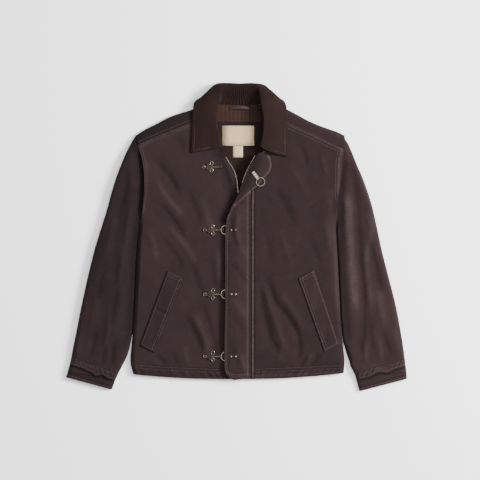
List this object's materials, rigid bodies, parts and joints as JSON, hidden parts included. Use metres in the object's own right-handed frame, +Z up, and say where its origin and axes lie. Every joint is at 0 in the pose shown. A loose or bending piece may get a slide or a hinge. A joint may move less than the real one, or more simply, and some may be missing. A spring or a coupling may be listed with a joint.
{
  "type": "fireman jacket",
  "caption": "Dark brown canvas work jacket laid flat, with a corduroy collar, a storm flap over an open-topped zip and metal hook-and-ring clasps",
  "frame": {"origin": "middle of the garment's bounding box, on the surface that it lies on", "axes": "+X to the right as the jacket is looked down on, +Y from the hem to the collar, +Z up from the surface"},
  "size_m": [0.8526, 0.7694, 0.0376],
  "materials": {
    "canvas": "washed brown canvas, matt",
    "canvas_worn": "canvas worn paler along its seams",
    "corduroy": "dark brown corduroy with a soft nap",
    "plaid": "soft brushed check",
    "quilted_lining": "dark quilted lining",
    "twill": "dark twill facing",
    "zip_tape": "dark woven tape",
    "label_cloth": "pale woven cloth, bare",
    "antique_metal": "dulled nickel",
    "brass": "dull brass"
  },
  "bodies": {
    "jacket": {"back": "canvas", "back_lining": "quilted_lining", "clasp_bar_1": "brass", "clasp_bar_2": "brass", "clasp_bar_3": "brass", "clasp_bar_4": "brass", "clasp_hook_1": "antique_metal", "clasp_hook_2": "antique_metal", "clasp_hook_3": "antique_metal", "clasp_hook_4": "antique_metal", "clasp_ring_2": "antique_metal", "clasp_ring_3": "antique_metal", "clasp_ring_4": "antique_metal", "collar": "corduroy", "flap_rivet_2_1": "antique_metal", "flap_rivet_2_2": "antique_metal", "flap_rivet_3_1": "antique_metal", "flap_rivet_3_2": "antique_metal", "flap_rivet_4_1": "antique_metal", "flap_rivet_4_2": "antique_metal", "flap_seam_welt": "canvas_worn", "front_left": "canvas", "front_right": "canvas", "hanger_loop": "canvas_worn", "inner_yoke": "plaid", "neck_facing": "twill", "neck_label": "label_cloth", "pocket_welt_left": "canvas_worn", "pocket_welt_right": "canvas_worn", "ring_plate_1": "antique_metal", "ring_plate_2": "antique_metal", "ring_plate_3": "antique_metal", "ring_plate_4": "antique_metal", "size_tag": "label_cloth", "sleeve_top_left": "canvas", "sleeve_top_right": "canvas", "sleeve_under_left": "canvas", "sleeve_under_right": "canvas", "storm_flap": "canvas", "yoke_left": "canvas", "yoke_right": "canvas", "zip_chain_left": "antique_metal", "zip_chain_right": "antique_metal", "zip_slider": "antique_metal", "zip_tape_left": "zip_tape", "zip_tape_right": "zip_tape"},
    "top_ring": {"clasp_ring_1": "antique_metal"}
  },
  "joints": [
    {"name": "top_ring_swing", "type": "hinge", "parent": "jacket", "child": "top_ring", "pos_m": [0.05431, 0.14433, 0.0344], "axis": [-0.7986, -0.6018, 0], "range_deg": [0, 120]}
  ]
}
